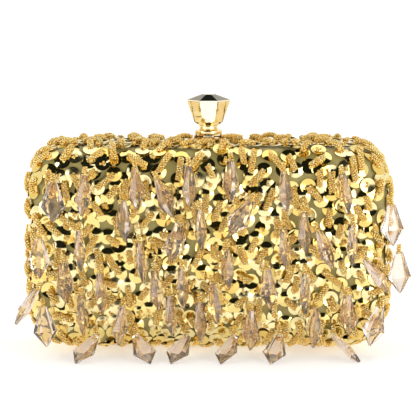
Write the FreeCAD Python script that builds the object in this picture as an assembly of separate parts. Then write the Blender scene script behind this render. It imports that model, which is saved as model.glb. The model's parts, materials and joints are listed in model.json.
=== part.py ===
import FreeCAD, Part
import math
import os

from FreeCAD import Rotation, Vector

# Hard evening clutch. Two deep half cases meet at an upright seam, hinge along the
# bottom and close with a rocking clasp on top. Millimetres, +Z up, the front faces -Y,
# and the bag stands on z = 0. The shapes are drawn with the seam plane at y = 0, and
# placed() then moves them so that the origin is under the middle of the whole outline.

# Driving dimensions of the case
WIDTH = 190.0
HEIGHT = 110.0
HALF_DEPTH = 29.0
TOP_CORNER = 24.0
LOW_CORNER = 26.0
EDGE_ROUND = 15.0

# Layers of a half case, from the outside in
EMBROIDERY = 3.7
CLOTH = 0.8
SHELL = 1.8
LINING = 0.8
CLOTH_INSET = EMBROIDERY
SHELL_INSET = CLOTH_INSET + CLOTH
LINING_INSET = SHELL_INSET + SHELL
ROOM_INSET = LINING_INSET + LINING

# Channel frame round the mouth of each half
SEAM_GAP = 0.3
FRAME_DEPTH = 4.0
FRAME_FACE = 1.35
FRAME_INSET = 3.0
CHANNEL_PLAY = 0.1
FRAME_INNER = ROOM_INSET + 0.3
LAYER_START = FRAME_DEPTH + CHANNEL_PLAY

# Bottom hinges
HINGE_X = 45.0
HINGE_Z = 2.6
KNUCKLE_RADIUS = 1.9
KNUCKLE_LENGTH = 6.0
KNUCKLE_GAP = 0.2
HINGE_PIN_RADIUS = 0.8
HINGE_BORE_RADIUS = 0.85
KNUCKLES_HALF = 1.5 * KNUCKLE_LENGTH + KNUCKLE_GAP
KNUCKLE_FOOT = 0.9
HINGE_NOTCH = 2.3
PIN_HEAD = 0.5
PIN_HEAD_RADIUS = 1.3
PIN_HEAD_PLAY = 0.05

# Clasp: everything rocks about a pin that lies along X. Depths are measured from the
# seam plane, and are below 0 in front of it.
FRAME_TOP = HEIGHT - FRAME_INSET
CLASP_ROOM_X = 10.5
CLASP_ROOM_Y = 5.6
CLASP_Y = 2.2
CLASP_Z = FRAME_TOP + 2.2
CLASP_PIN_RADIUS = 0.7
CLASP_BORE_RADIUS = 0.75
CLASP_HEAD_RADIUS = 1.1
CLASP_HEAD = 0.4
PLATE = 0.7
BRACKET_HALF = 9.6
BRACKET_DEPTHS = (0.4, 3.9)
EAR_INSIDE = 5.8
EAR_THICK = 1.2
EAR_ROUND = 1.6
EAR_DEPTHS = (0.6, 3.8)
KEEPER_HALF = 7.4
KEEPER_DEPTHS = (-3.9, -0.4)
RIB_SIDES = (2.7, 5.5)
RIB_ROUND = 1.45
RIB_DEPTHS = (-1.5, 3.2)
RIB_LOW = CLASP_Z - 0.6
ARM_HALF = 5.5
ARM_DEPTHS = (-4.4, 0.4)
ARM_HIGH = CLASP_Z + 0.7
CLAW_HALF = 3.6
CLAW_DEPTHS = (-4.4, -3.3)
CLAW_CLEARANCE = 0.2
CLAW_STEP = 0.5
FLANGE_RADIUS = 7.2
FLANGE_LOW = HEIGHT + 1.3
FLANGE_HIGH = FLANGE_LOW + 2.1
FLANGE_ROUND = 0.7
COLLAR_RADIUS = 4.9
COLLAR_HIGH = FLANGE_HIGH + 2.4
COLLAR_ROUND = 0.5
SCREW_RADIUS = 1.25
SCREW_PLAY = 0.05
SCREW_TOP = COLLAR_HIGH + 5.8
SCREW_HOLE_TOP = SCREW_TOP + 0.3
SCREW_HEAD = 0.7
SCREW_HEAD_RADIUS = 2.0
DRIVER_SLOT_HALF = 0.3

# Clasp spring, wound round the pin
SPRING_TURNS = 6
SPRING_PITCH = 0.62
SPRING_RADIUS = 1.12
SPRING_WIRE = 0.18

# Knob: (radius, height) of each corner line of its facets, from the foot up
KNOB_SIDES = 8
KNOB_FOOT = (COLLAR_RADIUS, COLLAR_HIGH)
KNOB_WAIST = (7.3, COLLAR_HIGH + 1.8)
GIRDLE_LOW = (11.1, COLLAR_HIGH + 13.0)
GIRDLE_HIGH = (11.1, COLLAR_HIGH + 13.4)
KNOB_TABLE = (3.4, COLLAR_HIGH + 16.0)

# Rivets through the frame's top wall, two for the bracket and two for the keeper
RIVET_Y = 2.1
RIVET_RADIUS = 0.6
RIVET_PLAY = 0.02
RIVET_HEAD = 1.0
RIVET_GRIP = 1.3
BRACKET_RIVET_X = 8.4
KEEPER_RIVET_X = 6.2

# Slip pocket on the back lining
POCKET_HALF = 52.0
POCKET_HEIGHTS = (18.0, 76.0)
POCKET_THICK = 1.2
POCKET_ROUND = 6.0

# Crystal drops on the front: a long kite with a flat table, on a short stem of beads
DROP_LENGTH = 21.0
DROP_WIDTH = 12.4
DROP_THICK = 4.6
DROP_TABLE = 0.48
STEM_RADIUS = 1.6
STEM_LENGTH = 4.6
STEM_START = 0.1
STEM_ROUND = 0.6
DROP_STANDOFF = 0.6

# Sections of a drop from its top: share of the length, of the width and of the thickness
DROP_SECTIONS = [(0.0, 0.34, 0.60), (0.62, 1.0, 1.0), (1.0, 0.08, 0.30)]

# Each drop: x, height of its top, lean about Y and turn about its own length, degrees.
# A lean above 0 swings its lower end to +X.
DROP_ROWS = {
    "a": [(-78.5, 90.5, 0, 0), (-62.3, 94, -4, 50), (-37, 97.3, 4, 50), (-26, 92, 22, 50),
          (-10, 98.8, 2, 50), (11, 101.4, 0, -45), (37.7, 96.2, 5, 50), (66.7, 95, 10, -65)],
    "b": [(-43.5, 81, 4, -45), (-4.5, 77, 3, 70), (21.4, 81, -31, 25), (47.6, 75.4, 5, 50),
          (72.4, 69.2, 0, 70), (92.2, 78.5, 3, 10)],
    "c": [(-85.7, 62, 0, 30), (-65, 66, 1, 75), (-35, 60, 6, 75), (-14.7, 69.7, -12, 30),
          (8.5, 56.5, 4, -60), (37.6, 67, 5, 60), (55, 66, 22, 45), (96.8, 53.5, 2, 10)],
    "d": [(-73.5, 49.4, 4, 45), (-55, 44.1, 3, 72), (-27.5, 45.7, 6, 60), (-13.5, 47, 2, 70),
          (29.6, 46.2, 4, -40), (48.7, 44.1, 1, 72), (79, 51.5, 35, 60)],
    "e": [(-87, 35.8, -31, 70), (-64.5, 33, 3, 65), (-20, 32.5, 5, 72), (1.8, 38.9, 6, -55),
          (70.3, 32.7, 3, -40)],
    "f": [(-84.2, 26.4, 5, 10), (-43.5, 27.5, -6, 50), (-4.5, 29.5, 2, 65), (21.4, 24.9, 0, -40),
          (54, 26.5, -2, -50), (87.3, 26.4, -15, 15)],
}

# Hem drops rest on the ground in front of the bag: x, turn to the side, roll, degrees
HEM_DROPS = [(-57.5, -30, 6), (-37, 25, -8), (-11, -25, 6), (13, -22, -6), (36, -15, 8),
             (63.6, 42, 40)]
HEM_STEM_Y = -31.2
HEM_STEM_Z = 12.3
HEM_SLOPE = 62.0
HEM_GROUND_GAP = 0.05

# The outline's middle lies this far from the seam plane and the middle of the case
OUTLINE_MIDDLE = Vector(2.4, -10.3, 0.0)

BACK = Vector(0, 1, 0)
UP = Vector(0, 0, 1)
SIDEWAYS = Vector(1, 0, 0)

# Cutting shapes run this far past what they cut, and the largest are this wide
CUT_PAST = 2.0
CUTTER = 60.0


def box(x_range, y_range, z_range):
    size = [high - low for low, high in (x_range, y_range, z_range)]
    return Part.makeBox(*size, Vector(x_range[0], y_range[0], z_range[0]))


def rod(radius, start, length, direction):
    return Part.makeCylinder(radius, length, start, direction)


def rims(shape, radius):
    """Edges that run once round a rod of this radius."""
    return [edge for edge in shape.Edges if abs(edge.Length - 2 * math.pi * radius) < 0.01]


def join(shapes):
    whole = shapes[0]
    for shape in shapes[1:]:
        whole = whole.fuse(shape)
    return whole.removeSplitter()


def to_back(shape):
    return shape.mirror(Vector(0, 0, 0), BACK)


# ---------------------------------------------------------------- the half cases

def outline(inset, y):
    """Wire round the case, seen from the front, at depth y."""
    side = WIDTH / 2 - inset
    low = inset
    high = HEIGHT - inset
    corners = [
        (side, high, TOP_CORNER - inset, 0),
        (-side, high, TOP_CORNER - inset, 90),
        (-side, low, LOW_CORNER - inset, 180),
        (side, low, LOW_CORNER - inset, 270),
    ]
    arcs = []
    for x, z, radius, start in corners:
        centre_x = x - math.copysign(radius, x)
        centre_z = z - radius if z == high else z + radius
        points = []
        for turn in (0, 45, 90):
            angle = math.radians(start + turn)
            points.append(Vector(centre_x + radius * math.cos(angle), y,
                                 centre_z + radius * math.sin(angle)))
        arcs.append((points, Part.Arc(*points).toShape()))
    edges = []
    for here, following in zip(arcs, arcs[1:] + arcs[:1]):
        edges.append(here[1])
        edges.append(Part.LineSegment(here[0][2], following[0][0]).toShape())
    return Part.Wire(edges)


def slab(inset, near, far):
    """Straight prism with the case's outline, between two depths in front of the seam."""
    return Part.Face(outline(inset, -near)).extrude(Vector(0, near - far, 0))


def block(inset, near):
    """Solid half case from depth near to its face, with the long edges rounded."""
    far = HALF_DEPTH - inset
    solid = slab(inset, near, far)
    far_edges = [edge for edge in solid.Edges
                 if all(abs(vertex.Y + far) < 1e-6 for vertex in edge.Vertexes)]
    return solid.makeFillet(EDGE_ROUND - inset, far_edges)


def layer(outer, inner, near):
    """One layer of a half case, open at the seam."""
    hollow = block(inner, near)
    mouth = slab(inner, near - CUT_PAST, near + CUT_PAST)
    return block(outer, near).cut(hollow).cut(mouth)


def hoop(outer, inner, near, far):
    return slab(outer, near, far).cut(slab(inner, near - CUT_PAST, far + CUT_PAST))


def clasp_room():
    return box((-CLASP_ROOM_X, CLASP_ROOM_X), (-CLASP_ROOM_Y, CLASP_ROOM_Y),
               (HEIGHT - EMBROIDERY, FLANGE_HIGH))


def embroidery():
    return layer(0.0, CLOTH_INSET, LAYER_START).cut(clasp_room())


def cloth():
    return layer(CLOTH_INSET, SHELL_INSET, LAYER_START)


def shell():
    return layer(SHELL_INSET, LINING_INSET, SEAM_GAP / 2 + FRAME_FACE + CHANNEL_PLAY)


def lining():
    return layer(LINING_INSET, ROOM_INSET, LAYER_START)


def rivet_places(spread):
    return [Vector(x, -RIVET_Y, FRAME_TOP) for x in (-spread, spread)]


def rivet_hole(place):
    return rod(RIVET_RADIUS + RIVET_PLAY, place - CUT_PAST * UP, 2 * CUT_PAST, UP)


def frame(rivet_spread):
    """Gold channel that grips the edge of the shell, notched for the hinge knuckles."""
    face_end = SEAM_GAP / 2 + FRAME_FACE
    ring = join([
        hoop(FRAME_INSET, FRAME_INNER, SEAM_GAP / 2, face_end),
        hoop(FRAME_INSET, SHELL_INSET - CHANNEL_PLAY, face_end, FRAME_DEPTH),
        hoop(LINING_INSET + CHANNEL_PLAY, FRAME_INNER, face_end, FRAME_DEPTH),
    ])
    for x in (-HINGE_X, HINGE_X):
        half = KNUCKLES_HALF + PIN_HEAD + 2 * KNUCKLE_GAP
        ring = ring.cut(box((x - half, x + half), (-HINGE_NOTCH, HINGE_NOTCH),
                            (0, HINGE_Z + HINGE_NOTCH)))
    for place in rivet_places(rivet_spread):
        ring = ring.cut(rivet_hole(place))
    return ring


def rivets(spread):
    """Two round-headed rivets through a plate and the frame's top wall."""
    made = []
    for place in rivet_places(spread):
        shank = rod(RIVET_RADIUS, place - RIVET_GRIP * UP, RIVET_GRIP + PLATE, UP)
        head = Part.makeSphere(RIVET_HEAD, place + PLATE * UP, UP, 0, 90, 360)
        made.append(join([shank, head]))
    return Part.makeCompound(made)


def inner_pocket():
    """Flat slip pocket that lies on the back lining."""
    face = HALF_DEPTH - ROOM_INSET
    panel = box((-POCKET_HALF, POCKET_HALF), (face - POCKET_THICK, face), POCKET_HEIGHTS)
    corners = [edge for edge in panel.Edges
               if abs(edge.Vertexes[0].Y - edge.Vertexes[-1].Y) > POCKET_THICK / 2]
    return panel.makeFillet(POCKET_ROUND, corners)


# ---------------------------------------------------------------- the hinges

def knuckle(start_x, foot_side):
    start = Vector(start_x, 0, HINGE_Z)
    barrel = rod(KNUCKLE_RADIUS, start, KNUCKLE_LENGTH, SIDEWAYS)
    foot_end = foot_side * FRAME_DEPTH
    foot = box((start_x, start_x + KNUCKLE_LENGTH), sorted((0.0, foot_end)),
               (FRAME_INSET - KNUCKLE_FOOT, FRAME_INSET))
    bore = rod(HINGE_BORE_RADIUS, start - CUT_PAST * SIDEWAYS, KNUCKLE_LENGTH + 2 * CUT_PAST, SIDEWAYS)
    return join([barrel, foot]).cut(bore)


def knuckle_starts(x):
    pitch = KNUCKLE_LENGTH + KNUCKLE_GAP
    return [x - KNUCKLES_HALF + step * pitch for step in range(3)]


def front_knuckles():
    return Part.makeCompound([knuckle(knuckle_starts(x)[1], -1) for x in (-HINGE_X, HINGE_X)])


def back_knuckles():
    starts = [knuckle_starts(x)[step] for x in (-HINGE_X, HINGE_X) for step in (0, 2)]
    return Part.makeCompound([knuckle(start, 1) for start in starts])


def hinge_pins():
    pins = []
    for x in (-HINGE_X, HINGE_X):
        middle = Vector(x, 0, HINGE_Z)
        reach = (KNUCKLES_HALF + PIN_HEAD_PLAY) * SIDEWAYS
        shank = rod(HINGE_PIN_RADIUS, middle - reach, 2 * reach.Length, SIDEWAYS)
        right_head = rod(PIN_HEAD_RADIUS, middle + reach, PIN_HEAD, SIDEWAYS)
        left_head = rod(PIN_HEAD_RADIUS, middle - reach, PIN_HEAD, -SIDEWAYS)
        pins.append(join([shank, right_head, left_head]))
    return Part.makeCompound(pins)


# ---------------------------------------------------------------- the clasp

def pivot(x):
    return Vector(x, CLASP_Y, CLASP_Z)


def clasp_bracket():
    """Two ears on a plate that is riveted to the back frame."""
    parts = [box((-BRACKET_HALF, BRACKET_HALF), BRACKET_DEPTHS, (FRAME_TOP, FRAME_TOP + PLATE))]
    for start in (EAR_INSIDE, -EAR_INSIDE - EAR_THICK):
        parts.append(box((start, start + EAR_THICK), EAR_DEPTHS, (FRAME_TOP, CLASP_Z)))
        parts.append(rod(EAR_ROUND, pivot(start), EAR_THICK, SIDEWAYS))
    bracket = join(parts).cut(pin_bore())
    for place in rivet_places(BRACKET_RIVET_X):
        bracket = bracket.cut(to_back(rivet_hole(place)))
    return bracket


def pin_bore():
    return rod(CLASP_BORE_RADIUS, pivot(-CUTTER / 2), CUTTER, SIDEWAYS)


def clasp_pin():
    reach = EAR_INSIDE + EAR_THICK + PIN_HEAD_PLAY
    shank = rod(CLASP_PIN_RADIUS, pivot(-reach), 2 * reach, SIDEWAYS)
    heads = [rod(CLASP_HEAD_RADIUS, pivot(reach), CLASP_HEAD, SIDEWAYS),
             rod(CLASP_HEAD_RADIUS, pivot(-reach), CLASP_HEAD, -SIDEWAYS)]
    return join([shank] + heads)


def screw_bore(bottom, top):
    return rod(SCREW_RADIUS + SCREW_PLAY, Vector(0, 0, bottom), top - bottom, UP)


def clasp_lever():
    """Round flange on two ribs, rocking on the pin, with a claw that reaches forward."""
    flange = rod(FLANGE_RADIUS, Vector(0, 0, FLANGE_LOW), FLANGE_HIGH - FLANGE_LOW, UP)
    parts = [flange.makeFillet(FLANGE_ROUND, rims(flange, FLANGE_RADIUS))]
    inner, outer = RIB_SIDES
    for start in (inner, -outer):
        sides = (start, start + outer - inner)
        parts.append(rod(RIB_ROUND, pivot(start), outer - inner, SIDEWAYS))
        parts.append(box(sides, RIB_DEPTHS, (RIB_LOW, FLANGE_LOW + FLANGE_ROUND)))
    claw_low = FRAME_TOP + PLATE + CLAW_CLEARANCE
    parts.append(box((-ARM_HALF, ARM_HALF), ARM_DEPTHS, (claw_low + CLAW_STEP, ARM_HIGH)))
    parts.append(box((-CLAW_HALF, CLAW_HALF), CLAW_DEPTHS, (claw_low, ARM_HIGH)))
    return join(parts).cut(pin_bore()).cut(screw_bore(ARM_HIGH, FLANGE_HIGH + CUT_PAST))


def clasp_spring():
    """Torsion spring round the pin, between the lever's two ribs."""
    length = SPRING_TURNS * SPRING_PITCH
    helix = Part.makeHelix(SPRING_PITCH, length, SPRING_RADIUS)
    section = Part.Wire(Part.makeCircle(SPRING_WIRE, Vector(SPRING_RADIUS, 0, 0), BACK))
    coil = Part.Wire(helix.Edges).makePipeShell([section], True, True)
    coil.rotate(Vector(0, 0, 0), BACK, 90)
    coil.translate(pivot(-length / 2))
    return coil


def clasp_collar():
    ring = rod(COLLAR_RADIUS, Vector(0, 0, FLANGE_HIGH), COLLAR_HIGH - FLANGE_HIGH, UP)
    ring = ring.makeFillet(COLLAR_ROUND, rims(ring, COLLAR_RADIUS))
    return ring.cut(screw_bore(FLANGE_HIGH - CUT_PAST, COLLAR_HIGH + CUT_PAST))


def cut_facets(stone, start, end):
    """Grind a ring of flats whose slope runs from start to end, each (radius, height)."""
    slope = math.atan2(end[1] - start[1], end[0] - start[0])
    outward = Vector(math.sin(slope), 0, -math.cos(slope))
    middle = Vector((start[0] + end[0]) / 2, 0, (start[1] + end[1]) / 2)
    waste = Part.makeBox(CUTTER, CUTTER, CUTTER, Vector(-CUTTER / 2, -CUTTER / 2, 0))
    waste.Placement = FreeCAD.Placement(middle, Rotation(UP, outward))
    for step in range(KNOB_SIDES):
        piece = waste.copy()
        piece.rotate(Vector(0, 0, 0), UP, step * 360.0 / KNOB_SIDES)
        stone = stone.cut(piece)
    return stone


def clasp_knob():
    """Eight-sided stone shape standing on its foot, in polished metal."""
    corner = GIRDLE_LOW[0] / math.cos(math.pi / KNOB_SIDES)
    stone = rod(corner + CUT_PAST, Vector(0, 0, COLLAR_HIGH), KNOB_TABLE[1] - COLLAR_HIGH, UP)
    lines = [KNOB_FOOT, KNOB_WAIST, GIRDLE_LOW, GIRDLE_HIGH, KNOB_TABLE]
    for start, end in zip(lines, lines[1:]):
        stone = cut_facets(stone, start, end)
    return stone.cut(screw_bore(COLLAR_HIGH - CUT_PAST, SCREW_HOLE_TOP))


def knob_screw():
    head_low = FLANGE_LOW - SCREW_HEAD
    shank = rod(SCREW_RADIUS, Vector(0, 0, head_low), SCREW_TOP - head_low, UP)
    head = rod(SCREW_HEAD_RADIUS, Vector(0, 0, head_low), SCREW_HEAD, UP)
    driver_slot = box((-SCREW_HEAD_RADIUS, SCREW_HEAD_RADIUS),
                      (-DRIVER_SLOT_HALF, DRIVER_SLOT_HALF),
                      (head_low, head_low + SCREW_HEAD / 2))
    return join([shank, head]).cut(driver_slot)


def clasp_keeper():
    """Plate on the front frame that the lever's claw catches."""
    plate = box((-KEEPER_HALF, KEEPER_HALF), KEEPER_DEPTHS, (FRAME_TOP, FRAME_TOP + PLATE))
    for place in rivet_places(KEEPER_RIVET_X):
        plate = plate.cut(rivet_hole(place))
    return plate


# ---------------------------------------------------------------- the crystal drops

def drop_ring(share, wide, thick):
    """Six-sided section: two side points and a flat table front and back."""
    table = DROP_TABLE / 2
    points = []
    for x, y in ((0.5, 0), (table, -0.5), (-table, -0.5), (-0.5, 0), (-table, 0.5), (table, 0.5)):
        points.append(Vector(x * DROP_WIDTH * wide, y * DROP_THICK * thick, -DROP_LENGTH * share))
    return points


def drop():
    """Kite-shaped crystal that hangs from the origin."""
    rings = [drop_ring(*section) for section in DROP_SECTIONS]
    faces = [Part.Face(Part.makePolygon(ring + ring[:1])) for ring in (rings[0], rings[-1])]
    for upper, lower in zip(rings, rings[1:]):
        for here in range(6):
            following = (here + 1) % 6
            for corners in ([upper[here], upper[following], lower[following]],
                            [upper[here], lower[following], lower[here]]):
                faces.append(Part.Face(Part.makePolygon(corners + corners[:1])))
    return Part.Solid(Part.Shell(faces)).removeSplitter()


def stem():
    """Outer shape of the seed-bead stem above a drop."""
    body = rod(STEM_RADIUS, Vector(0, 0, STEM_START), STEM_LENGTH, UP)
    return body.makeFillet(STEM_ROUND, rims(body, STEM_RADIUS))


def surface_y(x, z):
    """Depth of the embroidery's outer face, rounded edges included."""
    from_side = WIDTH / 2 - abs(x)
    from_end = min(z, HEIGHT - z)
    reach = min(from_side, from_end, EDGE_ROUND)
    bend = EDGE_ROUND - reach
    return -(HALF_DEPTH - EDGE_ROUND + math.sqrt(EDGE_ROUND ** 2 - bend ** 2))


def half_depth(turn):
    """How far a drop reaches from its own middle towards the case."""
    across = DROP_WIDTH * abs(math.sin(math.radians(turn)))
    table_corner = (DROP_THICK * math.cos(math.radians(turn)) + DROP_TABLE * across) / 2
    return max(table_corner, across / 2)


def hang(shape, x, z, lean, turn):
    """Set a drop or stem on the front; z is the height of the drop's top."""
    hung = shape.copy()
    hung.rotate(Vector(0, 0, 0), UP, turn)
    hung.rotate(Vector(0, 0, 0), BACK, -lean)
    belly = z - DROP_LENGTH * DROP_SECTIONS[1][0]
    inner_edge = max(abs(x) - DROP_WIDTH / 2, 0.0)
    hung.translate(Vector(x, surface_y(inner_edge, belly) - half_depth(turn) - DROP_STANDOFF, z))
    return hung


def lay(shape, x, side_turn, roll):
    """Lay a hem drop down in front, leaning on the ground from its thread end."""
    laid = shape.copy()
    laid.rotate(Vector(0, 0, 0), UP, roll)
    laid.rotate(Vector(0, 0, 0), SIDEWAYS, -HEM_SLOPE)
    laid.rotate(Vector(0, 0, 0), UP, side_turn)
    lowest = min(vertex.Z for vertex in laid.Vertexes)
    laid.translate(Vector(x, HEM_STEM_Y, HEM_GROUND_GAP - lowest))
    return laid


def hem_stem(x):
    upright = stem()
    upright.translate(Vector(x, HEM_STEM_Y, HEM_STEM_Z))
    return upright


def row_nodes():
    """Crystals and stems of every row, by node name."""
    nodes = {}
    for row, places in DROP_ROWS.items():
        nodes["crystals_" + row] = [hang(drop(), *place) for place in places]
        nodes["bead_stems_" + row] = [hang(stem(), *place) for place in places]
    nodes["crystals_hem"] = [lay(drop(), *place) for place in HEM_DROPS]
    nodes["bead_stems_hem"] = [hem_stem(place[0]) for place in HEM_DROPS]
    return {name: Part.makeCompound(shapes) for name, shapes in nodes.items()}


# ---------------------------------------------------------------- all nodes

def all_nodes():
    nodes = {
        "front_embroidery": embroidery(),
        "front_cloth": cloth(),
        "front_shell": shell(),
        "front_lining": lining(),
        "front_frame": frame(KEEPER_RIVET_X),
        "back_embroidery": to_back(embroidery()),
        "back_cloth": to_back(cloth()),
        "back_shell": to_back(shell()),
        "back_lining": to_back(lining()),
        "back_frame": to_back(frame(BRACKET_RIVET_X)),
        "inner_pocket": inner_pocket(),
        "front_knuckles": front_knuckles(),
        "back_knuckles": back_knuckles(),
        "hinge_pins": hinge_pins(),
        "clasp_bracket": clasp_bracket(),
        "bracket_rivets": to_back(rivets(BRACKET_RIVET_X)),
        "clasp_pin": clasp_pin(),
        "clasp_spring": clasp_spring(),
        "clasp_lever": clasp_lever(),
        "clasp_collar": clasp_collar(),
        "clasp_knob": clasp_knob(),
        "knob_screw": knob_screw(),
        "clasp_keeper": clasp_keeper(),
        "keeper_rivets": rivets(KEEPER_RIVET_X),
    }
    nodes.update(row_nodes())
    return nodes


def placed(shape):
    shape.translate(-OUTLINE_MIDDLE)
    return shape


os.makedirs("parts", exist_ok=True)
for node_name, node_shape in all_nodes().items():
    placed(node_shape).exportStep("parts/" + node_name + ".step")
    print(node_name, node_shape.isValid(), len(node_shape.Solids), round(node_shape.Volume))
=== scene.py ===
import json
import math

import bpy
import numpy as np
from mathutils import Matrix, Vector, noise
from mathutils.bvhtree import BVHTree

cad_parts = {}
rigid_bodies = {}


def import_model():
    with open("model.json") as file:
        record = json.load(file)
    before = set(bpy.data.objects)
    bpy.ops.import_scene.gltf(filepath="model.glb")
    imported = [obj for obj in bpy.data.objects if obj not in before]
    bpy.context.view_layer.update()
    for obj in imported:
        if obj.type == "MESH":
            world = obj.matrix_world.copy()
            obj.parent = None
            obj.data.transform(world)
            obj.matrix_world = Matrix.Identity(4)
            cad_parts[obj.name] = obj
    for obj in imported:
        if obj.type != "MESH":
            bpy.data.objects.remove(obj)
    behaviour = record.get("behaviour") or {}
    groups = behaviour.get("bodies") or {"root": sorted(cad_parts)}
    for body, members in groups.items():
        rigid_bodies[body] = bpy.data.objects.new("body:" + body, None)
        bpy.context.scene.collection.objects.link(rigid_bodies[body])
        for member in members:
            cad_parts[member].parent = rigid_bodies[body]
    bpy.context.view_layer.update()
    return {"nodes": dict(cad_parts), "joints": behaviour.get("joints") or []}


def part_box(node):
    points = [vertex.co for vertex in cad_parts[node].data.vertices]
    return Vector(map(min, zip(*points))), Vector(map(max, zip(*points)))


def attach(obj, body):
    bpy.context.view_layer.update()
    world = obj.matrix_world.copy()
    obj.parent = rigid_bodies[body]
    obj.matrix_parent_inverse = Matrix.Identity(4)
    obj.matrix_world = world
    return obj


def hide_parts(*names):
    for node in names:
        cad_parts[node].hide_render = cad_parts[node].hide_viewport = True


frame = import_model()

# Evening bag: a hard clutch in gold sequins and seed beads with crystal drops. All
# lengths are in metres in the frame of the CAD model, where -Y is the front.
MM = 0.001

# ------------------------------------------------------------------ places from the frame
JOINTS = {joint["name"]: joint for joint in frame["joints"]}
MIDDLE_X, SEAM_Y, _ = JOINTS["front_open"]["pos_m"]
EMBROIDERY_LOW, EMBROIDERY_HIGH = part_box("front_embroidery")
HALF_WIDTH = (EMBROIDERY_HIGH.x - EMBROIDERY_LOW.x) / 2
HEIGHT = EMBROIDERY_HIGH.z
HALF_DEPTH = SEAM_Y - EMBROIDERY_LOW.y
LAYER_START = SEAM_Y - EMBROIDERY_HIGH.y
CLOTH_INSET = EMBROIDERY_HIGH.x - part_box("front_cloth")[1].x
LINING_INSET = EMBROIDERY_HIGH.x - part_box("front_lining")[1].x
LINING_THICK = 0.8 * MM
EDGE_ROUND = 15.0 * MM
TOP_CORNER = 24.0 * MM
LOW_CORNER = 26.0 * MM
CLASP_ROOM_X = 11.5 * MM
CLASP_ROOM_DEPTH = 7.5 * MM
ROWS = ["a", "b", "c", "d", "e", "f", "hem"]

# Camera and the dark openings in the studio tent: direction, cosine of the edge's angle
CAMERA_DISTANCE = 0.90
CAMERA_ELEVATION = math.radians(8.5)
CAMERA_LENS = 154.0
AIM_ASIDE = 0.3 * MM
AIM_HEIGHT = 76.5 * MM
DARK_BY_CAMERA = ((-0.10, -0.76, 0.65), 0.72)
DARK_BEHIND = ((0.0, 0.77, 0.64), 0.955)
DARK_EDGE_SOFT = 0.03
TENT_WHITE = (1.0, 0.99, 0.97, 1.0)
TENT_DARK = (0.012, 0.014, 0.012, 1.0)
TENT_STRENGTH = 1.02
GROUND_RADIUS = 14.0
GROUND_SIDES = 64
GROUND_GLOW = 0.42

# Softboxes: name, place, size and power in watts
SOFTBOXES = [
    ("left_softbox", (-0.95, -0.80, 0.40), (0.55, 0.7), 3.2),
    ("right_softbox", (0.66, -0.95, 0.30), (0.6, 0.7), 4.2),
    ("top_softbox", (0.0, 0.15, 1.1), (1.0, 0.7), 1.5),
]

# Steps of a half case's surface
CORNER_POINTS = 13
OUTLINE_STEP = 3.0 * MM
WALL_RINGS = 5
EDGE_RINGS = 10
FACE_RINGS = 16

# Sequins; a level is the step in height between sequins whose rims pass
SEQUIN_RADIUS = 4.0 * MM
SEQUIN_HOLE = 0.55 * MM
SEQUIN_CUP = 0.62 * MM
SEQUIN_THICK = 0.10 * MM
SEQUIN_SIDES = 20
SEQUIN_SMOOTH = 42
SEQUIN_SPACING = 5.7 * MM
SEQUIN_LOWEST = 0.25 * MM
SEQUIN_STEP = 0.42 * MM
SEQUIN_SCALES = (0.94, 1.03)
SEQUIN_TILT = 5
SEQUIN_LEAN = 0.16
SEQUIN_SHARES = [0.45, 0.25, 0.15, 0.15]
DOME_SHARE = 0.78
RIMS_MEET = 1.85 * SEQUIN_RADIUS
SCATTER_TRIES = 9000

# Sequins in the gaps, laid lower than the rest and fewer towards the top
BETWEEN_SPACING = 0.7 * SEQUIN_SPACING
BETWEEN_CLEAR = 0.66 * SEQUIN_SPACING
BETWEEN_FADE = 0.8
BETWEEN_LEVEL = -0.4
BETWEEN_TRIES = 4000

# Seed beads, and the few that are sewn on a single sequin
BEAD_RADIUS = 0.70 * MM
BEAD_HOLE = 0.24 * MM
BEAD_LENGTH = 1.05 * MM
BEAD_SIDES = 8
BEAD_PITCH = 1.02 * BEAD_LENGTH
BEAD_SCALES = (0.95, 1.05)
BEAD_WOBBLE = 0.06
BEAD_SHARES = [0.42, 0.18, 0.20, 0.20]
LONE_BEADS = (3, 8)
LONE_BEAD_LIFT = 1.4 * MM
LONE_BEAD_ASIDE = 1.1 * MM
LONE_BEAD_TILT = 40

# Twisted runs of beads
STRAND_STAGGER = 0.3
STRAND_FLATNESS = 0.8
TWIST_LENGTH = 14.0 * MM

# Bars of beads between two sequins; from PAIR_SURE_FROM of the height up, every one may get a bar
PAIR_CHANCE = 0.60
PAIR_CHANCE_RISE = 0.40
PAIR_SURE_FROM = 0.6
BAR_SHORTEST = 6.0 * MM
BAR_LONGEST = 11.5 * MM
BAR_APART = 4.6 * MM
BAR_PAST = 0.7 * MM
BAR_LIFT = 1.5 * MM
BAR_ARCH = (0.7 * MM, 1.4 * MM)
BAR_PRESS = 0.6
BAR_STEPS = 9
BAR_STRANDS = 5
BAR_OFFSET = 1.10 * MM

# Stems of the drops, with a collar of beads round the foot
STEM_STRANDS = 3
STEM_OFFSET = 0.78 * MM
STEM_FOOT = 0.6 * MM
STEM_KNEE = 2.5 * MM
STEM_SET_BACK = 0.5 * MM
COLLAR_BEADS = 5
COLLAR_RADIUS = 1.05 * MM
COLLAR_TURN = 0.5
COLLAR_TILT = 0.3

# Seeds of the random layouts, and how many pieces each kind of trimming is split into
FRONT_SEED = 11
BACK_SEED = 23
STEM_SEED = 500
PIECES = 8

# Fabric: how far the cloth lies below the CAD cloth's face, and size and scale of the swells
CLOTH_SUNK = 0.1 * MM
CLOTH_SWELL = (0.25 * MM, 90.0)
LINING_SWELL = (0.35 * MM, 45.0)

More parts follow.
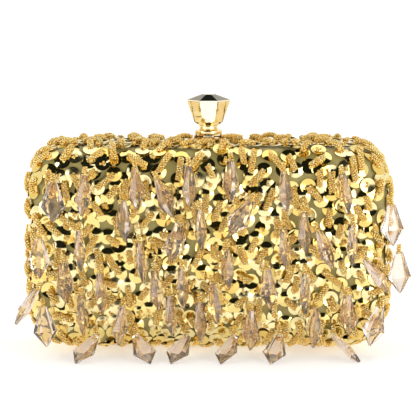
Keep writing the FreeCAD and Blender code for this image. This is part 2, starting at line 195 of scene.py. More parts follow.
# Slip pocket: its hem, and where its stitches run as shares of its width and height
POCKET_ROUND = 6.0 * MM
POCKET_GAPE = 1.6 * MM
POCKET_INSIDE = 0.3 * MM
POCKET_RIPPLE = 0.25 * MM
POCKET_COLUMNS = 48
POCKET_ROWS = 28
HEM_THICK = 0.45 * MM
HEM_TALL = 1.6 * MM
HEM_DROP = 1.2 * MM
STITCH_SIDE = 0.975
STITCH_LOW = 0.06
STITCH_HIGH = 0.93
STITCH_BOTTOM = 0.035
STITCH_UNDER_HEM = 0.945
STITCH_END = 0.95
STITCH_LIFT = 0.12 * MM
SIDE_STITCHES = 18
BOTTOM_STITCHES = 32
HEM_STITCHES = 34


# ------------------------------------------------------------------ camera, light, ground
def look_at(obj, target):
    direction = Vector(target) - obj.location
    obj.rotation_euler = direction.to_track_quat("-Z", "Y").to_euler()


def add_camera():
    target = Vector((MIDDLE_X - AIM_ASIDE, SEAM_Y - HALF_DEPTH, AIM_HEIGHT))
    data = bpy.data.cameras.new("camera")
    data.lens = CAMERA_LENS
    data.clip_start = 0.05
    camera = bpy.data.objects.new("camera", data)
    back = Vector((0.0, -math.cos(CAMERA_ELEVATION), math.sin(CAMERA_ELEVATION)))
    camera.location = target + back * CAMERA_DISTANCE
    look_at(camera, target)
    bpy.context.scene.collection.objects.link(camera)
    bpy.context.scene.camera = camera


def add_softbox(name, place, target, size, power):
    data = bpy.data.lights.new(name, "AREA")
    data.shape = "RECTANGLE"
    data.size, data.size_y = size
    data.energy = power
    light = bpy.data.objects.new(name, data)
    light.location = place
    look_at(light, target)
    light.visible_camera = False
    bpy.context.scene.collection.objects.link(light)


def add_lights():
    middle = (MIDDLE_X, SEAM_Y, HEIGHT / 2)
    for name, place, size, power in SOFTBOXES:
        add_softbox(name, place, middle, size, power)


def dark_patch(tree, way, edge_cosine):
    """1 inside a round patch of the sky about a direction and 0 outside it."""
    place = tree.nodes.new("ShaderNodeTexCoord")
    along = tree.nodes.new("ShaderNodeVectorMath")
    along.operation = "DOT_PRODUCT"
    along.inputs[1].default_value = Vector(way).normalized()
    tree.links.new(place.outputs["Generated"], along.inputs[0])
    edge = tree.nodes.new("ShaderNodeMapRange")
    edge.inputs["From Min"].default_value = edge_cosine
    edge.inputs["From Max"].default_value = edge_cosine + DARK_EDGE_SOFT
    tree.links.new(along.outputs["Value"], edge.inputs["Value"])
    return edge.outputs["Result"]


def add_world():
    """White studio tent with two dark openings, seen only in reflections."""
    world = bpy.data.worlds.new("studio")
    bpy.context.scene.world = world
    world.use_nodes = True
    tree = world.node_tree
    tree.nodes.clear()
    by_camera = dark_patch(tree, *DARK_BY_CAMERA)
    behind = dark_patch(tree, *DARK_BEHIND)
    either = tree.nodes.new("ShaderNodeMath")
    either.operation = "MAXIMUM"
    tree.links.new(by_camera, either.inputs[0])
    tree.links.new(behind, either.inputs[1])
    tent = tree.nodes.new("ShaderNodeMix")
    tent.data_type = "RGBA"
    tent.inputs["A"].default_value = TENT_WHITE
    tent.inputs["B"].default_value = TENT_DARK
    tree.links.new(either.outputs["Value"], tent.inputs["Factor"])
    studio = tree.nodes.new("ShaderNodeBackground")
    studio.inputs["Strength"].default_value = TENT_STRENGTH
    tree.links.new(tent.outputs["Result"], studio.inputs["Color"])
    backdrop = tree.nodes.new("ShaderNodeBackground")
    backdrop.inputs["Color"].default_value = (1.0, 1.0, 1.0, 1.0)
    backdrop.inputs["Strength"].default_value = 1.0
    path = tree.nodes.new("ShaderNodeLightPath")
    choice = tree.nodes.new("ShaderNodeMixShader")
    tree.links.new(path.outputs["Is Camera Ray"], choice.inputs["Fac"])
    tree.links.new(studio.outputs["Background"], choice.inputs[1])
    tree.links.new(backdrop.outputs["Background"], choice.inputs[2])
    out = tree.nodes.new("ShaderNodeOutputWorld")
    tree.links.new(choice.outputs["Shader"], out.inputs["Surface"])


def add_ground():
    """Round sheet of white paper that the bag stands on, with a little light of its own."""
    turns = [2 * math.pi * k / GROUND_SIDES for k in range(GROUND_SIDES)]
    verts = [(GROUND_RADIUS * math.cos(turn), GROUND_RADIUS * math.sin(turn), 0.0) for turn in turns]
    mesh = bpy.data.meshes.new("studio_ground")
    mesh.from_pydata(verts, [], [tuple(range(GROUND_SIDES))])
    ground = bpy.data.objects.new("studio_ground", mesh)
    bpy.context.scene.collection.objects.link(ground)
    mat, shader, _ = new_material("white_paper")
    shader.inputs["Base Color"].default_value = (0.93, 0.925, 0.915, 1.0)
    shader.inputs["Roughness"].default_value = 0.7
    shader.inputs["Emission Color"].default_value = (1.0, 1.0, 1.0, 1.0)
    shader.inputs["Emission Strength"].default_value = GROUND_GLOW
    mesh.materials.append(mat)


# ------------------------------------------------------------------ materials
def new_material(name):
    mat = bpy.data.materials.new(name)
    mat.use_nodes = True
    tree = mat.node_tree
    shader = tree.nodes["Principled BSDF"]
    return mat, shader, tree


def object_noise(tree, scale, detail=2.0):
    """Noise in the object's own space, so that it stays put when the object moves."""
    place = tree.nodes.new("ShaderNodeTexCoord")
    pattern = tree.nodes.new("ShaderNodeTexNoise")
    pattern.inputs["Scale"].default_value = scale
    pattern.inputs["Detail"].default_value = detail
    tree.links.new(place.outputs["Object"], pattern.inputs["Vector"])
    return pattern.outputs["Fac"]


def ramp(tree, value, stops):
    """Colour that runs through stops, each a position and a colour."""
    node = tree.nodes.new("ShaderNodeValToRGB")
    while len(node.color_ramp.elements) < len(stops):
        node.color_ramp.elements.new(0.5)
    for element, (position, colour) in zip(node.color_ramp.elements, stops):
        element.position = position
        element.color = (*colour, 1.0)
    tree.links.new(value, node.inputs["Fac"])
    return node.outputs["Color"]


def spread(tree, value, low, high):
    """Stretch the middle of a noise's range over low to high."""
    node = tree.nodes.new("ShaderNodeMapRange")
    node.inputs["From Min"].default_value = 0.3
    node.inputs["From Max"].default_value = 0.7
    node.inputs["To Min"].default_value = low
    node.inputs["To Max"].default_value = high
    tree.links.new(value, node.inputs["Value"])
    return node.outputs["Result"]


def add_bump(tree, shader, height, strength, distance):
    node = tree.nodes.new("ShaderNodeBump")
    node.inputs["Strength"].default_value = strength
    node.inputs["Distance"].default_value = distance
    tree.links.new(height, node.inputs["Height"])
    tree.links.new(node.outputs["Normal"], shader.inputs["Normal"])


def polished_metal(name, light, dark, roughness, grain=900.0, metallic=1.0):
    """Gold plating: slow changes of tone, faint wear in the polish and fine ripples."""
    mat, shader, tree = new_material(name)
    tone = ramp(tree, object_noise(tree, 160.0), [(0.35, dark), (0.65, light)])
    tree.links.new(tone, shader.inputs["Base Color"])
    shader.inputs["Metallic"].default_value = metallic
    tree.links.new(spread(tree, object_noise(tree, 420.0, 4.0), *roughness), shader.inputs["Roughness"])
    add_bump(tree, shader, object_noise(tree, grain, 3.0), 0.06, 0.2 * MM)
    return mat


def sequin_film(name, colour, roughness):
    """Mirror-gold plastic film; shallow dents break up what it reflects."""
    mat, shader, tree = new_material(name)
    shader.inputs["Base Color"].default_value = (*colour, 1.0)
    shader.inputs["Metallic"].default_value = 1.0
    shader.inputs["Roughness"].default_value = roughness
    add_bump(tree, shader, object_noise(tree, 450.0), 0.10, 0.15 * MM)
    return mat


def seed_bead(name, colour, roughness):
    """Silver-lined glass bead: gold under a clear gloss coat, not quite even."""
    mat, shader, tree = new_material(name)
    shader.inputs["Base Color"].default_value = (*colour, 1.0)
    shader.inputs["Metallic"].default_value = 0.75
    shader.inputs["Roughness"].default_value = roughness
    shader.inputs["Coat Weight"].default_value = 0.3
    shader.inputs["Coat Roughness"].default_value = 0.08
    add_bump(tree, shader, object_noise(tree, 2200.0), 0.15, 0.08 * MM)
    return mat


def woven(name, light, dark, threads_per_metre, roughness=0.45, sheen=0.35):
    """Satin: fine crossed threads in tone and bump, with a soft sheen."""
    mat, shader, tree = new_material(name)
    place = tree.nodes.new("ShaderNodeTexCoord")
    heights = []
    for direction in ("X", "Z"):
        wave = tree.nodes.new("ShaderNodeTexWave")
        wave.bands_direction = direction
        wave.inputs["Scale"].default_value = threads_per_metre / 6.3
        wave.inputs["Distortion"].default_value = 0.6
        wave.inputs["Detail Scale"].default_value = 3.0
        tree.links.new(place.outputs["Object"], wave.inputs["Vector"])
        heights.append(wave.outputs["Fac"])
    weave = tree.nodes.new("ShaderNodeMath")
    weave.operation = "MULTIPLY"
    tree.links.new(heights[0], weave.inputs[0])
    tree.links.new(heights[1], weave.inputs[1])
    blotch = tree.nodes.new("ShaderNodeMath")
    blotch.operation = "ADD"
    tree.links.new(weave.outputs["Value"], blotch.inputs[0])
    tree.links.new(spread(tree, object_noise(tree, 60.0, 3.0), -0.2, 0.25), blotch.inputs[1])
    tone = ramp(tree, blotch.outputs["Value"], [(0.05, dark), (0.8, light)])
    tree.links.new(tone, shader.inputs["Base Color"])
    shader.inputs["Roughness"].default_value = roughness
    shader.inputs["Sheen Weight"].default_value = sheen
    shader.inputs["Sheen Roughness"].default_value = 0.4
    add_bump(tree, shader, weave.outputs["Value"], 0.5, 0.15 * MM)
    return mat


def crystal_glass(name):
    """Rose-smoke cut glass, a little cloudy inside."""
    mat, shader, tree = new_material(name)
    tone = ramp(tree, object_noise(tree, 130.0, 3.0),
                [(0.30, (0.84, 0.68, 0.56)), (0.70, (0.95, 0.85, 0.75))])
    tree.links.new(tone, shader.inputs["Base Color"])
    shader.inputs["Transmission Weight"].default_value = 0.94
    shader.inputs["IOR"].default_value = 1.52
    tree.links.new(spread(tree, object_noise(tree, 300.0), 0.02, 0.10), shader.inputs["Roughness"])
    add_bump(tree, shader, object_noise(tree, 240.0), 0.10, 0.3 * MM)
    return mat


def make_materials():
    made = {
        "sequins": [
            sequin_film("sequin_gold", (0.88, 0.71, 0.27), 0.07),
            sequin_film("sequin_pale", (0.92, 0.80, 0.42), 0.09),
            sequin_film("sequin_deep", (0.85, 0.62, 0.18), 0.08),
            sequin_film("sequin_worn", (0.93, 0.80, 0.42), 0.20),
        ],
        "beads": [
            seed_bead("bead_gold", (1.0, 0.73, 0.24), 0.26),
            seed_bead("bead_amber", (0.94, 0.60, 0.15), 0.30),
            seed_bead("bead_light", (1.0, 0.84, 0.40), 0.22),
            seed_bead("bead_honey", (0.97, 0.67, 0.20), 0.36),
        ],
        "satin": woven("olive_satin", (0.56, 0.47, 0.15), (0.38, 0.31, 0.09), 4200.0),
        "thread": woven("sewing_thread", (0.66, 0.54, 0.30), (0.46, 0.36, 0.18), 6000.0),
        "lining": woven("lining_satin", (0.50, 0.40, 0.20), (0.30, 0.23, 0.10), 2200.0, 0.5),
        "knob": polished_metal("knob_gold", (1.0, 0.94, 0.80), (1.0, 0.91, 0.72), (0.02, 0.05), 300.0),
        "clasp": polished_metal("clasp_gold", (0.98, 0.80, 0.46), (0.93, 0.72, 0.36), (0.06, 0.14)),
        "frame": polished_metal("frame_gold", (0.95, 0.76, 0.40), (0.86, 0.64, 0.28), (0.12, 0.26)),
        "hinge": polished_metal("hinge_gold", (0.86, 0.66, 0.34), (0.70, 0.50, 0.24), (0.22, 0.40)),
        "steel": polished_metal("spring_steel", (0.66, 0.64, 0.61), (0.48, 0.46, 0.44), (0.25, 0.42)),
        "board": polished_metal("shell_board", (0.05, 0.047, 0.043), (0.025, 0.024, 0.022), (0.5, 0.7),
                                500.0, 0.0),
        "crystal": crystal_glass("rose_crystal"),
    }
    return made


# ------------------------------------------------------------------ mesh helpers
def unit(vectors):
    return vectors / np.maximum(np.linalg.norm(vectors, axis=-1, keepdims=True), 1e-12)


def link_mesh(name, mesh, materials, smooth_angle=None):
    obj = bpy.data.objects.new(name, mesh)
    bpy.context.scene.collection.objects.link(obj)
    for mat in materials:
        mesh.materials.append(mat)
    mesh.polygons.foreach_set("use_smooth", np.ones(len(mesh.polygons), dtype=bool))
    if smooth_angle is not None:
        mesh.set_sharp_from_angle(angle=math.radians(smooth_angle))
    mesh.update()
    return obj


def quad_object(name, verts, quads, materials, material_index=None, smooth_angle=None):
    mesh = bpy.data.meshes.new(name)
    mesh.vertices.add(len(verts))
    mesh.vertices.foreach_set("co", np.asarray(verts, np.float32).ravel())
    mesh.loops.add(4 * len(quads))
    mesh.loops.foreach_set("vertex_index", np.asarray(quads, np.int32).ravel())
    mesh.polygons.add(len(quads))
    mesh.polygons.foreach_set("loop_start", np.arange(0, 4 * len(quads), 4, dtype=np.int32))
    mesh.update(calc_edges=True)
    if material_index is not None:
        mesh.polygons.foreach_set("material_index", np.asarray(material_index, np.int32))
    return link_mesh(name, mesh, materials, smooth_angle)


def lathe(profile, count):
    """Quads of a closed profile of (radius, height) points turned about Z."""
    profile = np.asarray(profile, float)
    angles = np.arange(count) * 2 * math.pi / count
    verts = np.stack([
        np.outer(np.cos(angles), profile[:, 0]),
        np.outer(np.sin(angles), profile[:, 0]),
        np.outer(np.ones(count), profile[:, 1]),
    ], axis=-1).reshape(-1, 3)
    size = len(profile)
    quads = []
    for turn in range(count):
        following = (turn + 1) % count
        for here in range(size):
            beyond = (here + 1) % size
            quads.append((turn * size + here, following * size + here,
                          following * size + beyond, turn * size + beyond))
    return verts, np.array(quads)


def bead_template():
    middle = (BEAD_RADIUS + BEAD_HOLE) / 2
    wall = (BEAD_RADIUS - BEAD_HOLE) / 2
    angles = [math.radians(a) for a in (0, 60, 130, 230, 300)]
    profile = [(middle + wall * math.cos(a), 0.5 * BEAD_LENGTH * math.sin(a)) for a in angles]
    return lathe(profile, BEAD_SIDES)


def sequin_template():
    """Cupped disc with a hole: a flat middle, then a rising rim."""
    steps = [(SEQUIN_HOLE, 0.0), (1.4 * MM, 0.04), (2.4 * MM, 0.38),
             (3.3 * MM, 0.76), (SEQUIN_RADIUS, 1.0)]
    top = [(radius, SEQUIN_CUP * rise) for radius, rise in steps]
    under = [(radius, height - SEQUIN_THICK) for radius, height in reversed(top)]
    return lathe(top[::-1] + under[::-1], SEQUIN_SIDES)


def axes_from(along, across):
    """Rotation matrices whose Z is along and whose X lies near across."""
    z = unit(along)
    y = unit(np.cross(z, across))
    x = np.cross(y, z)
    return np.stack([x, y, z], axis=-1)


def stamp(name, template, rotations, places, scales, kinds, materials, smooth_angle=None):
    """One object made of many copies of a template, each with its own material."""
    verts, quads = template
    copies = len(places)
    scaled = verts[None, :, :] * np.asarray(scales).reshape(-1, 1, 1)
    moved = np.einsum("nij,nmj->nmi", rotations, scaled) + places[:, None, :]
    faces = quads[None, :, :] + (np.arange(copies) * len(verts))[:, None, None]
    index = np.repeat(np.asarray(kinds), len(quads))
    return quad_object(name, moved.reshape(-1, 3), faces.reshape(-1, 4), materials, index, smooth_angle)


# ------------------------------------------------------------------ surface of a half case
def core_outline():
    """Middle line of the rounded edge: points and outward directions in X and Z."""
    points, ways = [], []
    corners = [(1, 1, TOP_CORNER, 0), (-1, 1, TOP_CORNER, 90),
               (-1, -1, LOW_CORNER, 180), (1, -1, LOW_CORNER, 270)]
    for side, end, radius, start in corners:
        centre_x = side * (HALF_WIDTH - radius)
        centre_z = HEIGHT - radius if end > 0 else radius
        bend = radius - EDGE_ROUND
        for angle in np.radians(np.linspace(start, start + 90, CORNER_POINTS)):
            way = (math.cos(angle), math.sin(angle))
            points.append((centre_x + bend * way[0], centre_z + bend * way[1]))
            ways.append(way)
    points, ways = np.array(points), np.array(ways)
    dense_points, dense_ways = [], []
    for index in range(len(points)):
        beyond = (index + 1) % len(points)
        gap = np.linalg.norm(points[beyond] - points[index])
        count = max(1, round(gap / OUTLINE_STEP))
        for part in range(count):
            share = part / count
            dense_points.append(points[index] * (1 - share) + points[beyond] * share)
            dense_ways.append(ways[index] * (1 - share) + ways[beyond] * share)
    return np.array(dense_points), unit(np.array(dense_ways))


def half_surface(side, inset):
    """Points and faces of one half case's surface; side is -1 in front and 1 behind."""
    core, ways = core_outline()
    radius = EDGE_ROUND - inset
    straight = HALF_DEPTH - EDGE_ROUND
    count = len(core)
    centre = np.array([0.0, HEIGHT / 2])
    rings = []
    for depth in np.linspace(LAYER_START, straight, WALL_RINGS):
        rings.append((core + radius * ways, depth))
    for angle in np.radians(np.linspace(0, 90, EDGE_RINGS)[1:]):
        rings.append((core + radius * math.cos(angle) * ways, straight + radius * math.sin(angle)))
    for share in np.linspace(1, 0, FACE_RINGS + 1)[1:-1]:
        rings.append((centre + (core - centre) * share, straight + radius))
    verts = []
    for ring, depth in rings:
        for x, z in ring:
            verts.append((MIDDLE_X + x, SEAM_Y + side * depth, z))
    verts.append((MIDDLE_X, SEAM_Y + side * (straight + radius), centre[1]))
    faces = []
    for ring in range(len(rings) - 1):
        for index in range(count):
            beyond = (index + 1) % count
            quad = [ring * count + index, ring * count + beyond,
                    (ring + 1) * count + beyond, (ring + 1) * count + index]
            faces.append(tuple(quad if side < 0 else quad[::-1]))
    last = (len(rings) - 1) * count
    for index in range(count):
        fan = [last + index, last + (index + 1) % count, len(verts) - 1]
        faces.append(tuple(fan if side < 0 else fan[::-1]))
    return verts, faces


def rumpled(verts, amount, scale):
    """Small soft swells, as of fabric that isn't drawn quite flat."""
    moved = []
    middle = Vector((MIDDLE_X, SEAM_Y, HEIGHT / 2))
    for place in verts:
        point = Vector(place)
        away = (point - middle).normalized()
        moved.append(point + away * amount * noise.noise(point * scale))
    return moved


class Surface:
    """Finds points on a half case's cloth and the direction away from it."""

    def __init__(self, side):
        self.side = side
        verts, faces = half_surface(side, CLOTH_INSET)
        self.tree = BVHTree.FromPolygons(verts, faces)
        self.verts = np.array(verts)
        self.triangles = np.array([tri for face in faces for tri in
                                   ((face[0], face[1], face[2]), (face[0], face[2], face[-1]))
                                   if len(set(tri)) == 3])

    def nearest(self, point):
        place, normal, _, _ = self.tree.find_nearest(Vector(point))
        return np.array(place), np.array(normal)

    def scatter(self, spacing, rng, tries):
        """Random points at least spacing apart, evenly over the surface."""
        a, b, c = (self.verts[self.triangles[:, k]] for k in range(3))
        areas = np.linalg.norm(np.cross(b - a, c - a), axis=1)
        chosen = rng.choice(len(areas), size=tries, p=areas / areas.sum())
        u, v = rng.random(tries), rng.random(tries)
        flip = u + v > 1
        u[flip], v[flip] = 1 - u[flip], 1 - v[flip]
        points = a[chosen] + u[:, None] * (b - a)[chosen] + v[:, None] * (c - a)[chosen]
        cells, kept = {}, []
        for point in points:
            key = tuple(int(value // spacing) for value in point)
            near = [other for dx in (-1, 0, 1) for dy in (-1, 0, 1) for dz in (-1, 0, 1)
                    for other in cells.get((key[0] + dx, key[1] + dy, key[2] + dz), ())]
            if all(np.linalg.norm(point - other) >= spacing for other in near):
                cells.setdefault(key, []).append(point)
                kept.append(point)
        return [point for point in kept if not self.by_clasp(point)]

    def by_clasp(self, point):
        depth = abs(point[1] - SEAM_Y)
        return abs(point[0] - MIDDLE_X) < CLASP_ROOM_X and depth < CLASP_ROOM_DEPTH and point[2] > HEIGHT / 2


# ------------------------------------------------------------------ embroidery
class Trimmings:
    """Collects beads and sequins before they are made into objects."""

    def __init__(self, rng):
        self.rng = rng
        self.beads = []
        self.sequins = []

    def add_bead(self, place, along, scale=1.0):
        kind = self.rng.choice(len(BEAD_SHARES), p=BEAD_SHARES)
        self.beads.append((place, along, scale, kind))

    def add_sequin(self, place, normal, scale=1.0):
        """Most sequins are sewn dome outwards, some cup outwards."""
        kind = self.rng.choice(len(SEQUIN_SHARES), p=SEQUIN_SHARES)
        if self.rng.random() < DOME_SHARE:
            self.sequins.append((place + normal * SEQUIN_CUP, -normal, scale, kind))
        else:
            self.sequins.append((place, normal, scale, kind))

    def twisted_run(self, path, ways, strands, offset):
        """Strands of beads twisted round a path; ways point away from the cloth."""
        lengths = np.linalg.norm(np.diff(path, axis=0), axis=1)
        total = lengths.sum()
        marks = np.concatenate([[0], np.cumsum(lengths)])
        count = max(2, int(total / BEAD_PITCH))
        phase = self.rng.uniform(0, 2 * math.pi)
        for strand in range(strands):
            for step in range(count):
                mark = (step + 0.5 + STRAND_STAGGER * strand) / (count + STRAND_STAGGER * strands) * total
                place = np.array([np.interp(mark, marks, path[:, k]) for k in range(3)])
                way = unit(np.array([np.interp(mark, marks, ways[:, k]) for k in range(3)]))
                index = min(np.searchsorted(marks, mark, side="right") - 1, len(lengths) - 1)
                along = unit(path[index + 1] - path[index])
                across = np.cross(along, way)
                turn = phase + 2 * math.pi * (mark / TWIST_LENGTH + strand / strands)
                out = across * math.cos(turn) + way * STRAND_FLATNESS * math.sin(turn)
                tilt = along + BEAD_WOBBLE * self.rng.normal(size=3)
                self.add_bead(place + offset * out, tilt, self.rng.uniform(*BEAD_SCALES))

    def objects(self, name, materials, groups):
        """Splits what was collected into objects from left to right."""
        made = []
        for label, items, template, angle in (
            ("beads", self.beads, bead_template(), None),
            ("sequins", self.sequins, sequin_template(), SEQUIN_SMOOTH),
        ):
            if not items:
                continue
            ordered = sorted(items, key=lambda item: item[0][0])
            parts = np.array_split(np.arange(len(ordered)), groups)
            for number, part in enumerate(parts, 1):
                chosen = [ordered[index] for index in part]
                places = np.array([item[0] for item in chosen])
                along = np.array([item[1] for item in chosen])
                across = self.rng.normal(size=places.shape)
                full = f"{name}_{label}_{number}" if groups > 1 else f"{name}_{label}"
                made.append(stamp(full, template, axes_from(along, across), places,
                                  [item[2] for item in chosen], [item[3] for item in chosen],
                                  materials[label], angle))
        return made


def tilted(normal, rng, degrees, lean=0.0):
    """A direction near the normal; lean tips it up in the upper half and down in the lower."""
    up = np.array([0.0, 0.0, lean])
    return unit(normal + up + math.tan(math.radians(degrees)) * rng.normal(size=3) * 0.6)


def lean_at(place):
    """How far a sequin at this place tips up, or below 0 down."""
    return SEQUIN_LEAN * (place[2] - 0.45 * HEIGHT) / (0.5 * HEIGHT)


def pair_up(points, rng):
    """Pairs of neighbouring points to join with bars; more are left single low down."""
    free = set(range(len(points)))
    pairs, middles = [], []
    for index in rng.permutation(len(points)):
        chance = PAIR_CHANCE + PAIR_CHANCE_RISE * min(1.0, points[index][2] / (PAIR_SURE_FROM * HEIGHT))
        if index not in free or rng.random() > chance:
            continue
        reach = np.linalg.norm(points - points[index], axis=1)
        order = rng.permutation(np.nonzero((reach > BAR_SHORTEST) & (reach < BAR_LONGEST))[0])
        for other in sorted(order, key=lambda k: -abs(points[k][2] - points[index][2]) * rng.random()):
            middle = (points[index] + points[other]) / 2
            crowded = any(np.linalg.norm(middle - taken) < BAR_APART for taken in middles)
            if other in free and not crowded:
                pairs.append((index, other))
                middles.append(middle)
                free -= {index, other}
                break
    return pairs, sorted(free)


def add_bar(surface, trimmings, start, end, rng):
    """A bar of twisted beads from one sequin to another, pressed flat under the bag."""
    along = unit(end - start)
    arch = rng.uniform(*BAR_ARCH)
    path, ways = [], []
    for share in np.linspace(0, 1, BAR_STEPS):
        spot = start + (end - start) * share + along * BAR_PAST * (2 * share - 1)
        place, out = surface.nearest(spot)
        pressed = 1.0 - BAR_PRESS * max(0.0, -out[2])
        path.append(place + out * pressed * (BAR_LIFT + arch * (1 - (2 * share - 1) ** 2)))
        ways.append(out)
    trimmings.twisted_run(np.array(path), np.array(ways), BAR_STRANDS, BAR_OFFSET)


def stacking(points):
    """A level for each sequin that no close neighbour has, so that their rims pass."""
    levels = np.zeros(len(points), int)
    for index in range(1, len(points)):
        reach = np.linalg.norm(points[:index] - points[index], axis=1)
        taken = set(levels[:index][reach < RIMS_MEET])
        levels[index] = min(set(range(len(taken) + 1)) - taken)
    return levels


def sew_sequin(surface, trimmings, point, rng, level):
    place, out = surface.nearest(point)
    direction = tilted(out, rng, SEQUIN_TILT, lean_at(place))
    height = SEQUIN_LOWEST + level * SEQUIN_STEP
    trimmings.add_sequin(place + out * height, direction, rng.uniform(*SEQUIN_SCALES))
    return place, out


def lone_sequins(surface, points, levels, single, rng):
    """Places and levels of sequins without a bar: those left single, then those in gaps."""
    between = [(point, BETWEEN_LEVEL) for point in surface.scatter(BETWEEN_SPACING, rng, BETWEEN_TRIES)
               if np.linalg.norm(points - point, axis=1).min() > BETWEEN_CLEAR
               and rng.random() > BETWEEN_FADE * point[2] / HEIGHT]
    return [(points[index], levels[index]) for index in single] + between


def embroider(side, name, materials, seed, groups):
    rng = np.random.default_rng(seed)
    surface = Surface(side)
    trimmings = Trimmings(rng)
    points = np.array(surface.scatter(SEQUIN_SPACING, rng, SCATTER_TRIES))
    pairs, single = pair_up(points, rng)
    levels = stacking(points)
    for start, end in pairs:
        add_bar(surface, trimmings, points[start], points[end], rng)
        for index in (start, end):
            sew_sequin(surface, trimmings, points[index], rng, levels[index])
    for point, level in lone_sequins(surface, points, levels, single, rng):
        place, out = sew_sequin(surface, trimmings, point, rng, level)
        for step in range(rng.integers(*LONE_BEADS)):
            aside = unit(np.cross(out, rng.normal(size=3))) * (0.0 if step == 0 else LONE_BEAD_ASIDE)
            trimmings.add_bead(place + out * LONE_BEAD_LIFT + aside, tilted(out, rng, LONE_BEAD_TILT))
    body = "front_half" if side < 0 else "back_half"
    made = trimmings.objects(name, materials, groups)
    for obj in made:
        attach(obj, body)
    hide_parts(f"{name}_embroidery")


# ------------------------------------------------------------------ fabric
def fabric_object(name, side, inset, material, amount, scale):
    verts, faces = half_surface(side, inset)
    verts = rumpled(verts, amount, scale)
    mesh = bpy.data.meshes.new(name)
    mesh.from_pydata(verts, [], faces)
    return link_mesh(name, mesh, [material])


def declare_sheet(obj, body, node):
    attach(obj, body)
    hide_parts(node)


def dress_cases(materials):
    for side, name in ((-1, "front"), (1, "back")):
        cloth = fabric_object(f"{name}_satin", side, CLOTH_INSET + CLOTH_SUNK,
                              materials["satin"], *CLOTH_SWELL)
        declare_sheet(cloth, f"{name}_half", f"{name}_cloth")
        lining = fabric_object(f"{name}_lining_satin", side, LINING_INSET + LINING_THICK / 2,
                               materials["lining"], *LINING_SWELL)
        declare_sheet(lining, f"{name}_half", f"{name}_lining")


def pocket_place(across, up):
    """A point of the slip pocket: across runs from -1 to 1 and up from 0 to 1."""
    low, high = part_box("inner_pocket")
    height = up * (high.z - low.z)
    short = max(0.0, POCKET_ROUND - height)
    narrowing = POCKET_ROUND - math.sqrt(POCKET_ROUND ** 2 - short ** 2)
    half = (high.x - low.x) / 2 - narrowing
    x = (low.x + high.x) / 2 + across * half
    gape = POCKET_GAPE * (1 - across ** 4) * up ** 1.5
    ripple = POCKET_RIPPLE * up * noise.noise(Vector((x * 60, height * 40, 0.5)))
    return np.array([x, high.y - POCKET_INSIDE - gape + ripple, low.z + height])


def stitch_template():
    profile = [(0.04, -0.95), (0.24, -0.60), (0.28, 0.0), (0.24, 0.60), (0.04, 0.95)]
    return lathe([(radius * MM, height * MM) for radius, height in profile], 6)


def pocket_stitches(material):
    """Running stitches down one side, along the bottom, up the other side and under the hem."""
    sides = np.linspace(STITCH_HIGH, STITCH_LOW, SIDE_STITCHES)
    bottom = np.linspace(-STITCH_END, STITCH_END, BOTTOM_STITCHES)
    hem = np.linspace(STITCH_END, -STITCH_END, HEM_STITCHES)
    route = [pocket_place(-STITCH_SIDE, up) for up in sides]
    route += [pocket_place(across, STITCH_BOTTOM) for across in bottom]
    route += [pocket_place(STITCH_SIDE, up) for up in sides[::-1]]
    route += [pocket_place(across, STITCH_UNDER_HEM) for across in hem]
    route = np.array(route) - np.array([0.0, STITCH_LIFT, 0.0])
    along = unit(np.gradient(route, axis=0))
    across = np.tile([0.0, 1.0, 0.0], (len(route), 1))
    turns = axes_from(along, across)
    sizes = np.ones(len(route))
    kinds = np.zeros(len(route), int)
    return stamp("pocket_stitches", stitch_template(), turns, route, sizes, kinds, [material])


def pocket_hem(material):
    """Turned-over hem along the pocket's open edge."""
    ring = [(HEM_THICK * math.cos(turn), HEM_TALL * math.sin(turn))
            for turn in np.linspace(0, 2 * math.pi, 10, endpoint=False)]
    verts, faces = [], []
    shares = np.linspace(-0.995, 0.995, 49)
    for share in shares:
        centre = pocket_place(share, 1.0)
        verts += [(centre[0], centre[1] + depth, centre[2] - HEM_DROP + rise) for depth, rise in ring]
    size = len(ring)
    for step in range(len(shares) - 1):
        for index in range(size):
            beyond = (index + 1) % size
            faces.append((step * size + index, step * size + beyond,
                          (step + 1) * size + beyond, (step + 1) * size + index))
    faces.append(tuple(range(size))[::-1])
    faces.append(tuple((len(shares) - 1) * size + index for index in range(size)))
    mesh = bpy.data.meshes.new("pocket_hem")
    mesh.from_pydata(verts, [], faces)
    return link_mesh("pocket_hem", mesh, [material], 60)


def add_pocket(materials):
    """Slip pocket sewn to the back lining at its sides and bottom, open at the top."""
    verts = [pocket_place(across, up) for up in np.linspace(0, 1, POCKET_ROWS + 1)
             for across in np.linspace(-1, 1, POCKET_COLUMNS + 1)]
    faces = []
    for row in range(POCKET_ROWS):
        for column in range(POCKET_COLUMNS):
            corner = row * (POCKET_COLUMNS + 1) + column
            above = corner + POCKET_COLUMNS + 1
            faces.append((corner, corner + 1, above + 1, above))
    mesh = bpy.data.meshes.new("slip_pocket")
    mesh.from_pydata(verts, [], faces)
    pocket = link_mesh("slip_pocket", mesh, [materials["lining"]])
    extras = [pocket_hem(materials["lining"]), pocket_stitches(materials["thread"])]
    for piece in [pocket] + extras:
        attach(piece, "back_half")
    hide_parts("inner_pocket")


# ------------------------------------------------------------------ drops
def islands(obj):
    """Corner points of each separate solid in a CAD node."""
    mesh = obj.data
    count = len(mesh.vertices)
    co = np.array([v.co for v in mesh.vertices])
    _, same = np.unique(np.round(co / (0.002 * MM)), axis=0, return_inverse=True)
    same = same.ravel()
    parent = np.arange(count)

    def root(index):
        while parent[index] != index:
            parent[index] = parent[parent[index]]
            index = parent[index]
        return index

    for edge in mesh.edges:
        a, b = root(same[edge.vertices[0]]), root(same[edge.vertices[1]])
        parent[a] = b
    groups = {}
    for index in range(count):
        groups.setdefault(root(same[index]), []).append(co[index])
    return [np.array(points) for points in groups.values()]


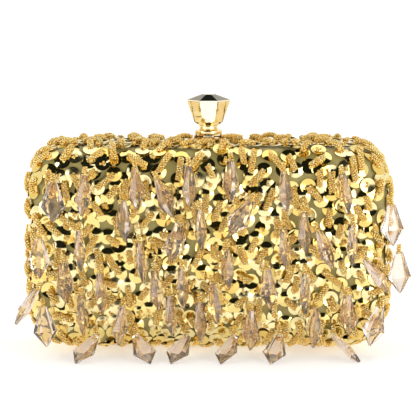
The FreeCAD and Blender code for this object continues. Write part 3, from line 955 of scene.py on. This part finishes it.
def axis_of(points):
    """Lower end and upper end of a solid's longest axis."""
    centre = (points.max(0) + points.min(0)) / 2
    _, _, ways = np.linalg.svd(points - points.mean(0), full_matrices=False)
    way = ways[0] if ways[0][2] > 0 else -ways[0]
    reach = (points - centre) @ way
    return centre + way * reach.min(), centre + way * reach.max()


def add_stems(materials):
    for number, row in enumerate(ROWS):
        rng = np.random.default_rng(STEM_SEED + number)
        trimmings = Trimmings(rng)
        for points in islands(frame["nodes"]["bead_stems_" + row]):
            low, high = axis_of(points)
            way = unit(high - low)
            back = np.array([0.0, 1.0, 0.0])
            path = np.array([low + way * STEM_FOOT, low + way * STEM_KNEE, high + back * STEM_SET_BACK])
            ways = np.repeat([-back], len(path), axis=0)
            trimmings.twisted_run(path, ways, STEM_STRANDS, STEM_OFFSET)
            for turn in range(COLLAR_BEADS):
                angle = 2 * math.pi * turn / COLLAR_BEADS + rng.uniform(0, COLLAR_TURN)
                side = np.array([math.cos(angle), math.sin(angle), 0.0])
                trimmings.add_bead(low + side * COLLAR_RADIUS, side + COLLAR_TILT * rng.normal(size=3))
        made = trimmings.objects(f"drop_stems_{row}", materials, 1)
        for obj in made:
            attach(obj, f"drops_{row}")
        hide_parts("bead_stems_" + row)


# ------------------------------------------------------------------ CAD nodes that stay
def finish_nodes(materials):
    looks = {
        "front_frame": "frame", "back_frame": "frame", "front_shell": "board", "back_shell": "board",
        "front_knuckles": "hinge", "back_knuckles": "hinge", "hinge_pins": "hinge", "clasp_pin": "hinge",
        "clasp_bracket": "clasp", "bracket_rivets": "clasp", "clasp_lever": "clasp",
        "clasp_collar": "clasp", "clasp_keeper": "clasp", "keeper_rivets": "clasp",
        "clasp_knob": "knob", "knob_screw": "steel", "clasp_spring": "steel",
    }
    for row in ROWS:
        looks["crystals_" + row] = "crystal"
    for node, look in looks.items():
        for slot in frame["nodes"][node].material_slots:
            slot.material = materials[look]


# ------------------------------------------------------------------ the scene
add_camera()
materials = make_materials()
add_lights()
add_world()
add_ground()
dress_cases(materials)
add_pocket(materials)
embroider(-1, "front", materials, FRONT_SEED, PIECES)
embroider(1, "back", materials, BACK_SEED, PIECES)
add_stems(materials)
finish_nodes(materials)
bpy.context.scene.view_settings.view_transform = "Standard"
